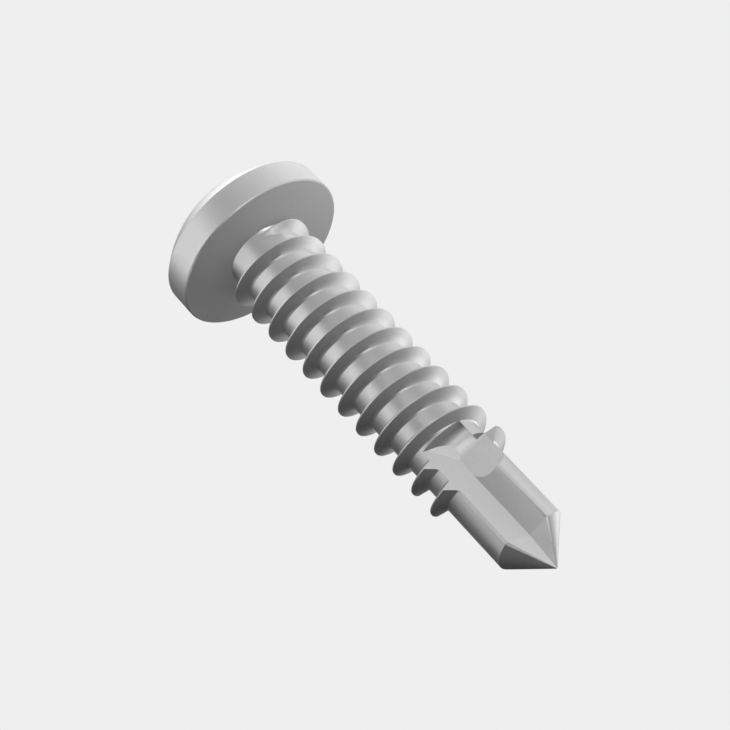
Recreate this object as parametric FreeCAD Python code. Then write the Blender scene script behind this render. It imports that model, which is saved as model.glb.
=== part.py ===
import FreeCAD, Part
import math
import os

# Self drilling screw, one solid. It stands on the flat of its pan head with the
# drill point up: Z = 0 is the top of the head, X faces the first flute.
# Lengths are in mm. Azimuth is measured about Z from +X towards +Y.

# Hand of thread and point. The photograph shows the left-hand one.
LEFT_HANDED = True

# Pan head
HEAD_DIAMETER = 11.54
HEAD_HEIGHT = 4.0
RIM_HEIGHT = 1.80
FLAT_RATIO = 0.464
RIM_EDGE_BREAK = 0.08

# Cross recess in the head
RECESS_DIAMETER = 6.6
RECESS_FLOOR_DIAMETER = 3.0
RECESS_DEPTH = 2.5
WING_WIDTH = 1.25
WING_FLOOR_WIDTH = 0.85
HUB_DIAMETER = 2.9
HUB_FLOOR_DIAMETER = 1.9
HUB_CONE_DEPTH = 0.45

# Shank and point
CORE_DIAMETER = 4.56
LENGTH_UNDER_HEAD = 27.44
TIP_FLAT = 0.06
# Length of the point below the tip at the cutting lip, in the valley and at the heel
LIP_LENGTH = 2.49
VALLEY_LENGTH = 2.31
HEEL_LENGTH = 2.10

# Thread
THREAD_DIAMETER = 6.3
THREAD_PITCH = 1.70
THREAD_HALF_TURNS = 25
THREAD_END = 20.59
CREST_WIDTH = 0.08
FLANK_WIDTH = 0.34
ROOT_BREAK = 0.10
ROOT_OVERLAP = 0.30

# Flutes: a V of two walls, and a narrow bevel where the first wall meets the land.
# Depths are taken inwards from the core's surface.
FLUTE_COUNT = 2
FLUTE_START = 17.73
VALLEY_RADIUS = 0.65
VALLEY_AZIMUTH = -14.0
LIP_WALL_ANGLE = 41.0
HEEL_WALL_ANGLE = -50.0
BEVEL_DEPTH = 0.33

# Chip pocket at the start of each flute
POCKET_FLOOR_ANGLE = -95.2
POCKET_END = 21.22
POCKET_WIDTH = 2.18
POCKET_RAMP = 1.32
POCKET_SIDE_DEPTH = 0.61
POCKET_SIDE_END = 18.85
TEETH_STOP = 18.1
TOOTH_END_ANGLE = -55.0
RUNOUT_START = 17.45
RUNOUT_END = 19.15
RUNOUT_AZIMUTH = -30.0
RUNOUT_SLOPE = 19.0

REACH = 2.0 * THREAD_DIAMETER
UP = FreeCAD.Vector(0, 0, 1)
ORIGIN = FreeCAD.Vector(0, 0, 0)


def v(x, y, z=0.0):
    return FreeCAD.Vector(x, y, z)


def polar(radius, azimuth):
    a = math.radians(azimuth)
    return v(radius * math.cos(a), radius * math.sin(a))


def along(point, azimuth, distance):
    return point + polar(distance, azimuth)


def face_of(points):
    return Part.Face(Part.makePolygon(points + [points[0]]))


def seat():
    """Height of the bearing face under the head."""
    return HEAD_HEIGHT


def tip():
    """Height of the sharp tip."""
    return HEAD_HEIGHT + LENGTH_UNDER_HEAD


def valley():
    return polar(VALLEY_RADIUS, VALLEY_AZIMUTH)


def on_core(point, angle):
    """Where a wall that leaves a point at an angle comes out of the core."""
    step = polar(1, angle)
    b, c = point.dot(step), point.dot(point) - (CORE_DIAMETER / 2) ** 2
    return point + step * (math.sqrt(b * b - c) - b)


def dome_arc():
    """Spherical dome from the flat on top of the head to the rim, and its two ends."""
    rim = v(HEAD_DIAMETER / 2, 0, HEAD_HEIGHT - RIM_HEIGHT)
    flat = v(HEAD_DIAMETER / 2 * FLAT_RATIO, 0, 0)
    centre = v(0, 0, (rim.dot(rim) - flat.dot(flat)) / (2 * rim.z))
    out = (flat + rim) * 0.5 - centre
    out.normalize()
    return Part.Arc(flat, centre + out * (flat - centre).Length, rim).toShape(), flat, rim


def blank():
    """Head and round shank in one revolved profile."""
    arc, flat_edge, rim_top = dome_arc()
    rim, core, low = HEAD_DIAMETER / 2, CORE_DIAMETER / 2, seat()
    top = tip() - TIP_FLAT
    corners = [rim_top, v(rim, 0, low - RIM_EDGE_BREAK), v(rim - RIM_EDGE_BREAK, 0, low),
               v(core, 0, low), v(core, 0, top), v(0, 0, top), ORIGIN, flat_edge]
    lines = [Part.makeLine(p, q) for p, q in zip(corners[:-1], corners[1:])]
    profile = Part.Face(Part.Wire([arc] + lines))
    return profile.revolve(ORIGIN, UP, 360)


def thread_profile():
    """Trapezoid with a small break at its root, sunk a little into the core."""
    core, crest = CORE_DIAMETER / 2, THREAD_DIAMETER / 2
    tip = CREST_WIDTH / 2
    base = tip + FLANK_WIDTH
    slope = FLANK_WIDTH / (crest - core)
    side = [(crest, tip), (core + ROOT_BREAK, base - slope * ROOT_BREAK),
            (core, base + ROOT_BREAK * 0.6), (core - ROOT_OVERLAP, base + ROOT_BREAK * 0.6)]
    ring = [v(r, 0, -w) for r, w in side] + [v(r, 0, w) for r, w in reversed(side)]
    return Part.makePolygon(ring + [ring[0]])


def thread():
    """Half turns of one ridge that ends at azimuth 0, the last one first."""
    rise = THREAD_PITCH / 2
    helix = Part.makeHelix(THREAD_PITCH, rise, CORE_DIAMETER / 2, 0, True)
    half = Part.Wire(helix.Edges).makePipeShell([thread_profile()], True, True)
    pieces = []
    for k in range(THREAD_HALF_TURNS):
        piece = half.copy()
        piece.rotate(ORIGIN, UP, 180.0 * (k + 1))
        piece.translate(v(0, 0, seat() + THREAD_END - (k + 1) * rise))
        pieces.append(piece)
    return pieces


def prism(points, low, high):
    return face_of([v(q.x, q.y, low) for q in points]).extrude(v(0, 0, high - low))


def groove(second_angle, low, high):
    """All that lies in front of the lip wall and of a second wall through the valley."""
    p = valley()
    return prism([p, along(p, LIP_WALL_ANGLE, REACH), v(REACH, -REACH),
                  along(p, second_angle, REACH)], low, high)


def flute():
    """V-shaped groove from the chip pocket to the tip."""
    return groove(HEEL_WALL_ANGLE, seat() + POCKET_END - POCKET_WIDTH / 2, tip())


def kept_tooth():
    """Room for the tooth that runs on a little past the edge of the pocket floor."""
    q = on_core(valley(), POCKET_FLOOR_ANGLE)
    return prism([q, along(q, TOOTH_END_ANGLE, 2 * REACH),
                  along(q, POCKET_FLOOR_ANGLE, 2 * REACH)], seat(), tip())


def teeth_stop():
    """Outside the core, the teeth stop at the lip wall and at the pocket floor."""
    core = Part.makeCylinder(CORE_DIAMETER / 2, LENGTH_UNDER_HEAD, v(0, 0, seat()), UP)
    return groove(POCKET_FLOOR_ANGLE, seat() + TEETH_STOP, tip()).cut([core, kept_tooth()])


def bevel_corner():
    p, depth = valley(), CORE_DIAMETER / 2 - BEVEL_DEPTH
    return along(p, LIP_WALL_ANGLE, (depth - p.x) / math.cos(math.radians(LIP_WALL_ANGLE)))


def bevel():
    """Narrow bevel where the lip wall meets the land, from the last tooth up."""
    b, lip = bevel_corner(), on_core(valley(), LIP_WALL_ANGLE)
    corners = [b, v(b.x, REACH), v(REACH, REACH), v(REACH, b.y)]
    crest = THREAD_END - THREAD_PITCH * math.atan2(lip.y, lip.x) / math.tau
    return prism(corners, seat() + crest + CREST_WIDTH / 2 + FLANK_WIDTH + ROOT_BREAK, tip())


def flute_start():
    """Start of the groove: a floor with a round ramp, a run-out facet and one side wall."""
    p = valley()
    low, high = seat() + FLUTE_START, seat() + POCKET_END - POCKET_WIDTH / 2
    side = along(p, POCKET_FLOOR_ANGLE, REACH)
    body = groove(POCKET_FLOOR_ANGLE, low, high)
    ramp = [e for e in body.Edges
            if (e.CenterOfMass - v(p.x, p.y, low)).cross(side - p).Length < 1e-6]
    body = body.makeFillet(POCKET_RAMP, ramp)
    outside = Part.makeBox(2 * REACH, REACH, POCKET_SIDE_END, v(-REACH, -REACH, seat()))
    outside.translate(v(0, POCKET_SIDE_DEPTH - CORE_DIAMETER / 2))
    facet = Part.makeBox(REACH, 2 * REACH, REACH, v(-REACH, -REACH, -REACH / 2))
    lip = on_core(p, LIP_WALL_ANGLE)
    line = v(lip.x, lip.y, seat() + RUNOUT_START) - v(p.x, p.y, seat() + RUNOUT_END)
    normal = polar(math.cos(math.radians(RUNOUT_SLOPE)), RUNOUT_AZIMUTH)
    normal.z = math.sin(math.radians(RUNOUT_SLOPE))
    normal = normal - line * (normal.dot(line) / line.dot(line))
    facet.Placement = FreeCAD.Placement(v(p.x, p.y, seat() + RUNOUT_END),
                                        FreeCAD.Rotation(v(1, 0, 0), normal))
    return body.cut([outside, facet, kept_tooth()])


def pocket_end():
    """Round lower end of the chip pocket, milled square to its floor."""
    r = POCKET_WIDTH / 2
    body = Part.makeCylinder(r, REACH)
    body.rotate(ORIGIN, v(0, 1, 0), 90)
    body.translate(v(0, -r, 0))
    body.rotate(ORIGIN, UP, POCKET_FLOOR_ANGLE + 90)
    p = valley()
    body.translate(v(p.x, p.y, seat() + POCKET_END - r))
    return body


def point_facets():
    """Both flute walls lean to the tip along the point, with the bevel between them."""
    p, lip, heel = valley(), bevel_corner(), on_core(valley(), HEEL_WALL_ANGLE)
    p = p * (LIP_LENGTH / VALLEY_LENGTH)
    heel = heel * (LIP_LENGTH / HEEL_LENGTH)
    far = v(REACH, -REACH)
    cut = [p, lip, v(lip.x, REACH), v(REACH, REACH), far, p + (heel - p) * REACH]
    apex = v(0, 0, tip())
    rim = [v(q.x, q.y, tip() - LIP_LENGTH) for q in cut]
    sides = [face_of([rim[i - 1], rim[i], apex]) for i in range(len(rim))]
    return Part.makeSolid(Part.makeShell(sides + [face_of(rim)]))


def point_land():
    """Half of the relieved point: a cone tilted so that the heel lies below the lip."""
    core = CORE_DIAMETER / 2
    lip = on_core(valley(), LIP_WALL_ANGLE)
    heel = on_core(valley(), HEEL_WALL_ANGLE)
    first = math.degrees(math.atan2(lip.y, lip.x))
    last = math.degrees(math.atan2(heel.y, heel.x)) + 360.0 / FLUTE_COUNT
    steep = math.degrees(math.atan2(core, LIP_LENGTH))
    blunt = math.degrees(math.atan2(core, HEEL_LENGTH))
    tilt = (blunt - steep) / 2 / math.sin(math.radians((last - first) / 2))
    half = (steep + blunt) / 2
    high = 2 * LIP_LENGTH
    cone = Part.makeCone(high * math.tan(math.radians(half)), 0, high, v(0, 0, -high), UP)
    keep = Part.makeBox(2 * REACH, REACH, 2 * high, v(-REACH, 0, -1.5 * high))
    cone.rotate(ORIGIN, polar(1, (first + last) / 2), tilt)
    keep.rotate(ORIGIN, UP, VALLEY_AZIMUTH)
    cone = cone.common(keep)
    cone.translate(v(0, 0, tip()))
    return cone


def point_blank():
    """What is cut off the end of the round shank to leave the two relieved lands."""
    high = LIP_LENGTH + THREAD_PITCH / 2
    ring = Part.makeCylinder(CORE_DIAMETER, high, v(0, 0, tip() - high), UP)
    return ring.cut(around(point_land()))


def cross_recess():
    """Tapered hub with four wings, cut into the head from its top."""
    def star(tip, width, z):
        a, w = tip / 2, width / 2
        pts = []
        for k in range(4):
            c, s = math.cos(k * math.pi / 2), math.sin(k * math.pi / 2)
            for x, y in ((a, -w), (a, w), (w, w)):
                pts.append(v(x * c - y * s, x * s + y * c, z))
        return Part.makePolygon(pts + [pts[0]])

    wings = Part.makeLoft([star(RECESS_DIAMETER, WING_WIDTH, 0),
                           star(RECESS_FLOOR_DIAMETER, WING_FLOOR_WIDTH, RECESS_DEPTH)],
                          True, True)
    hub = Part.makeCone(HUB_DIAMETER / 2, HUB_FLOOR_DIAMETER / 2, RECESS_DEPTH)
    cone = Part.makeCone(HUB_FLOOR_DIAMETER / 2, 0, HUB_CONE_DEPTH,
                         v(0, 0, RECESS_DEPTH), UP)
    return wings.fuse([hub, cone])


def around(cutter):
    copies = []
    for k in range(FLUTE_COUNT):
        c = cutter.copy()
        c.rotate(ORIGIN, UP, 360.0 * k / FLUTE_COUNT)
        copies.append(c)
    return copies


def screw():
    body = blank().fuse(thread())
    cutters = [teeth_stop(), flute(), flute_start(), pocket_end(), bevel(), point_facets()]
    copies = [c for cutter in cutters for c in around(cutter)]
    for cutter in copies + [point_blank(), cross_recess()]:
        body = body.cut(cutter)
    if not LEFT_HANDED:
        body = body.mirror(ORIGIN, v(0, 1, 0))
    return body


shape = screw()
if len(shape.Solids) == 1:
    shape = shape.Solids[0]
os.makedirs("parts", exist_ok=True)
shape.exportStep("parts/screw.step")
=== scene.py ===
import math

import bmesh
import bpy
from mathutils import Matrix, Vector


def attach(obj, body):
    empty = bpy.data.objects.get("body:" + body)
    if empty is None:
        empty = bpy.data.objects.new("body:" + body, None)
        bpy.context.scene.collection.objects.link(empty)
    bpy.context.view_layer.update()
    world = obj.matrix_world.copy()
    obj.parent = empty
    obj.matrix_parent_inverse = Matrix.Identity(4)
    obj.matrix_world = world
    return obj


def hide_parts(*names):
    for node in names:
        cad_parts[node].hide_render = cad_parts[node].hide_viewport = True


MM = 0.001

# The screw stands on its head, so the floor is at Z = 0 and the point is up.
# Vertices nearer than this are one. Faces are level, or meet in a crease, by the angle between them.
WELD_DISTANCE = 0.0005 * MM
LEVEL_ANGLE = math.radians(0.5)
SHARP_ANGLE = math.radians(24)
# Above 50, a large face counts for more than its small neighbours in the shading.
FLAT_WEIGHT = 80

# The screw's own sizes, as in the solid, in millimetres. Azimuths are in degrees about Z, from +X.
SEAT = 4.0
CORE_RADIUS = 2.28
CREST_RADIUS = 3.15
PITCH = 1.70
# Height above the seat of the first crest at azimuth 0
FIRST_CREST = 0.19
# The thread is full before the first azimuth and has run out at the second
FULL_THREAD, NO_THREAD = -75.0, -10.0
# Where the heel wall of the first flute meets its land
HEEL_EDGE = -40.4
LENGTH_PLAY = 0.01
ANGLE_PLAY = 1.0

# The photographer's set, in millimetres in the screw's own frame
CAMERA_PLACE = Vector((88.988, 0.0, 55.043))
CAMERA_TARGET = Vector((0.0, 0.0708, 14.4056))
CAMERA_UP = Vector((0.30259, -0.68397, -0.66379))
CAMERA_LENS = 80.997
CAMERA_SENSOR = 36.0
FLOOR_RADIUS = 2500.0

BACKDROP_HEX = "efefef"

# Sizes in millimetres. Real zinc crystals are finer, but wouldn't show in the picture.
ZINC_GRAIN = 0.15
PLATING_CLOUD = 1.2
GRAIN_RELIEF = 0.003

# The light tent round the screw, and its soft boxes: the azimuth and height in degrees where each one
# is seen from the tent's middle, its sharpness and its strength. A sharper box is a smaller patch.
# The box at azimuth 75 was placed separately. The others come from a program that fitted them to the
# tones of the photograph: they are rounded, and four of their strengths were then changed.
TENT_RADIUS = 45.0
TENT_MIDDLE = Vector((0.0, 0.0, 16.0))
SOFT_BOXES = [
    (0, 15, 22, 0.9),
    (-15, -5, 22, 0.8),
    (-25, 25, 22, 1.5),
    (-35, 60, 22, 1.9),
    (-35, -30, 5, 0.4),
    (-55, 15, 22, 1.2),
    (-90, -75, 11, 2.5),
    (-95, 40, 22, 1.0),
    (-100, 15, 11, 0.85),
    (-110, -30, 5, 1.0),
    (-140, 30, 22, 1.4),
    (-145, -30, 22, 0.6),
    (-150, 15, 22, 1.2),
    (175, -10, 22, 0.7),
    (80, 15, 22, 1.2),
    (75, -40, 22, 1.3),
    (55, -15, 22, 1.1),
    (35, -30, 22, 1.2),
    (30, -60, 22, 1.0),
]


def linear(hex_colour):
    """sRGB hex to Blender's linear red, green, blue and alpha."""
    parts = [int(hex_colour[i:i + 2], 16) / 255 for i in (0, 2, 4)]
    return [c / 12.92 if c <= 0.04045 else ((c + 0.055) / 1.055) ** 2.4 for c in parts] + [1.0]


def node(tree, kind, settings=None, **links):
    """Adds a node. A link is a value, or (node, output name)."""
    made = tree.nodes.new(kind)
    for key, value in (settings or {}).items():
        setattr(made, key, value)
    for name, value in links.items():
        socket = made.inputs[int(name[1:])] if name[0] == "_" else made.inputs[name.replace("_", " ")]
        if isinstance(value, tuple) and isinstance(value[0], bpy.types.Node):
            tree.links.new(value[0].outputs[value[1]], socket)
        else:
            socket.default_value = value
    return made


def new_material(name):
    """An empty node material, and its tree."""
    made = bpy.data.materials.new(name)
    made.use_nodes = True
    made.node_tree.nodes.clear()
    return made, made.node_tree


def new_object(name, bm):
    """Turns finished mesh work into an object of the scene."""
    mesh = bpy.data.meshes.new(name)
    bm.to_mesh(mesh)
    bm.free()
    made = bpy.data.objects.new(name, mesh)
    bpy.context.scene.collection.objects.link(made)
    return made


def zinc_plated_steel():
    """Zinc plated, cold rolled steel: a pale grey metal with a soft gloss and a faint crystal grain."""
    made, tree = new_material("zinc_plated_steel")
    place = node(tree, "ShaderNodeTexCoord")
    grain = node(tree, "ShaderNodeTexNoise", Vector=(place, "Object"),
                 Scale=1 / (ZINC_GRAIN * MM), Detail=3.0)
    cloud = node(tree, "ShaderNodeTexNoise", Vector=(place, "Object"),
                 Scale=1 / (PLATING_CLOUD * MM), Detail=2.0)
    gloss = node(tree, "ShaderNodeMapRange", Value=(cloud, "Fac"), From_Min=0.3, From_Max=0.7,
                 To_Min=0.29, To_Max=0.35)
    tone = node(tree, "ShaderNodeMix", {"data_type": "RGBA"}, _0=(grain, "Fac"),
                _6=linear("c2c2c2"), _7=linear("cecece"))
    relief = node(tree, "ShaderNodeBump", Height=(grain, "Fac"), Strength=1.0, Distance=GRAIN_RELIEF * MM)
    metal = node(tree, "ShaderNodeBsdfPrincipled", Base_Color=(tone, 2), Metallic=0.6,
                 Roughness=(gloss, "Result"), Normal=(relief, "Normal"))
    node(tree, "ShaderNodeOutputMaterial", Surface=(metal, "BSDF"))
    return made


def mark_creases(bm):
    """Steep edges are sharp, and slight ones too where no round surface carries on."""
    angles = {e: e.calc_face_angle(math.pi) for e in bm.edges}
    level = {}
    for seed in bm.faces:
        waiting = [] if seed in level else [seed]
        while waiting:
            face = waiting.pop()
            level[face] = seed
            for e in face.edges:
                if angles[e] < LEVEL_ANGLE:
                    waiting += [f for f in e.link_faces if f not in level]
    beside = {}
    for e, angle in angles.items():
        if LEVEL_ANGLE <= angle < SHARP_ANGLE:
            a, b = (level[f] for f in e.link_faces)
            beside.setdefault(a, set()).add(b)
            beside.setdefault(b, set()).add(a)
    for e, angle in angles.items():
        e.smooth = angle < SHARP_ANGLE
        if e.smooth and angle >= LEVEL_ANGLE:
            e.smooth = max(len(beside[level[f]]) for f in e.link_faces) > 1


def place_of(vert):
    """Distance from the axis and height above the floor in millimetres, and azimuth in degrees."""
    x, y, z = vert.co / MM
    return math.hypot(x, y), z, math.degrees(math.atan2(y, x))


def fade_thread_start(bm):
    """Under the head the first stretch of the thread runs out into the shank."""
    for vert in bm.verts:
        radius, height, azimuth = place_of(vert)
        next_root = FIRST_CREST + PITCH * (0.5 - azimuth / 360)
        on_thread = CORE_RADIUS < radius < CREST_RADIUS + LENGTH_PLAY
        if on_thread and -LENGTH_PLAY < height - SEAT < next_root:
            share = min(max((NO_THREAD - azimuth) / (NO_THREAD - FULL_THREAD), 0.0), 1.0)
            share = share * share * (3 - 2 * share)
            shrink = (CORE_RADIUS + (radius - CORE_RADIUS) * share) / radius
            vert.co.x *= shrink
            vert.co.y *= shrink


def on_heel_edge(vert):
    """On the core's surface, where a heel wall meets its land. The two edges are half a turn apart."""
    radius, _, azimuth = place_of(vert)
    aside = (azimuth - HEEL_EDGE + 90) % 180 - 90
    return abs(radius - CORE_RADIUS) < LENGTH_PLAY and abs(aside) < ANGLE_PLAY


def soften_heels(bm):
    """The heel walls roll over into the lands without a crease."""
    for e in bm.edges:
        if all(on_heel_edge(v) for v in e.verts):
            e.smooth = True


def screw_piece(solid):
    """The CAD solid as one merged mesh with its sharp edges kept."""
    bm = bmesh.new()
    bm.from_mesh(solid.data)
    fade_thread_start(bm)
    bmesh.ops.remove_doubles(bm, verts=bm.verts, dist=WELD_DISTANCE)
    bmesh.ops.dissolve_degenerate(bm, edges=bm.edges, dist=WELD_DISTANCE)
    for face in bm.faces:
        face.smooth = True
    mark_creases(bm)
    soften_heels(bm)
    made = new_object("screw_metal", bm)
    made.data.materials.append(zinc_plated_steel())
    # The flutes in the photograph are even, so the screw doesn't show in its own gloss.
    made.visible_glossy = False
    flat_stays_flat = made.modifiers.new("flat_stays_flat", "WEIGHTED_NORMAL")
    flat_stays_flat.mode = "FACE_AREA"
    flat_stays_flat.weight = FLAT_WEIGHT
    flat_stays_flat.keep_sharp = True
    return made


def floor():
    """A pale lit floor that only the camera sees, and only from above."""
    bm = bmesh.new()
    bmesh.ops.create_circle(bm, cap_ends=True, segments=64, radius=FLOOR_RADIUS * MM)
    made = new_object("floor", bm)
    lit, tree = new_material("lit_backdrop")
    glow = node(tree, "ShaderNodeEmission", Color=linear(BACKDROP_HEX), Strength=1.0)
    clear = node(tree, "ShaderNodeBsdfTransparent")
    side = node(tree, "ShaderNodeNewGeometry")
    one_sided = node(tree, "ShaderNodeMixShader", Fac=(side, "Backfacing"), _1=(glow, 0), _2=(clear, 0))
    node(tree, "ShaderNodeOutputMaterial", Surface=(one_sided, "Shader"))
    made.data.materials.append(lit)
    made.visible_glossy = False
    made.visible_diffuse = False
    made.visible_shadow = False
    return made


def light_tent():
    """Soft boxes as smooth patches of light on a tent that the camera looks through."""
    bm = bmesh.new()
    bmesh.ops.create_icosphere(bm, subdivisions=4, radius=TENT_RADIUS * MM)
    bmesh.ops.translate(bm, verts=bm.verts, vec=TENT_MIDDLE * MM)
    made = new_object("light_tent", bm)
    lit, tree = new_material("lit_cloth")
    place = node(tree, "ShaderNodeTexCoord")
    out = node(tree, "ShaderNodeVectorMath", {"operation": "SUBTRACT"},
               _0=(place, "Object"), _1=TENT_MIDDLE * MM)
    way = node(tree, "ShaderNodeVectorMath", {"operation": "NORMALIZE"}, _0=(out, "Vector"))
    total = None
    for azimuth, height, sharpness, strength in SOFT_BOXES:
        turn = Matrix.Rotation(math.radians(azimuth), 3, "Z")
        direction = turn @ Matrix.Rotation(-math.radians(height), 3, "Y") @ Vector((1, 0, 0))
        towards = node(tree, "ShaderNodeVectorMath", {"operation": "DOT_PRODUCT"},
                       _0=(way, "Vector"), _1=direction)
        fall = node(tree, "ShaderNodeMath", {"operation": "MULTIPLY_ADD"},
                    _0=(towards, "Value"), _1=sharpness, _2=-sharpness)
        patch = node(tree, "ShaderNodeMath", {"operation": "EXPONENT"}, _0=(fall, 0))
        total = node(tree, "ShaderNodeMath", {"operation": "MULTIPLY_ADD"},
                     _0=(patch, 0), _1=strength, _2=(total, 0) if total else 0.0)
    glow = node(tree, "ShaderNodeEmission", Strength=(total, 0))
    node(tree, "ShaderNodeOutputMaterial", Surface=(glow, "Emission"))
    made.data.materials.append(lit)
    made.visible_camera = False
    return made


def backdrop():
    """The pale room behind the tent."""
    world = bpy.data.worlds.new("backdrop")
    bpy.context.scene.world = world
    world.use_nodes = True
    tree = world.node_tree
    tree.nodes.clear()
    lit = node(tree, "ShaderNodeBackground", Color=linear(BACKDROP_HEX), Strength=1.0)
    node(tree, "ShaderNodeOutputWorld", Surface=(lit, "Background"))


def camera():
    """The camera at the photograph's viewing angle."""
    data = bpy.data.cameras.new("camera")
    data.lens, data.sensor_width = CAMERA_LENS, CAMERA_SENSOR
    data.clip_start, data.clip_end = 0.005, 20.0
    made = bpy.data.objects.new("camera", data)
    bpy.context.scene.collection.objects.link(made)
    back = (CAMERA_PLACE - CAMERA_TARGET).normalized()
    right = CAMERA_UP.cross(back).normalized()
    up = back.cross(right)
    turn = Matrix((right, up, back)).transposed().to_4x4()
    made.matrix_world = Matrix.Translation(CAMERA_PLACE * MM) @ turn
    bpy.context.scene.camera = made


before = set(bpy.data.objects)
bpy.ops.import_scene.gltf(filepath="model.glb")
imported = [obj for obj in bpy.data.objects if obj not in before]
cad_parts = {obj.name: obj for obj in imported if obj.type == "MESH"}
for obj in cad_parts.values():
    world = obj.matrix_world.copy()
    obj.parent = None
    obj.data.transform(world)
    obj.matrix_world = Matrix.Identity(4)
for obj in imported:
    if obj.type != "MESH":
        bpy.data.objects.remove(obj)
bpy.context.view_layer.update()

screw = screw_piece(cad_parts["screw"])
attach(screw, "root")
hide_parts("screw")

floor()
light_tent()
backdrop()
camera()
bpy.context.scene.view_settings.view_transform = "Standard"
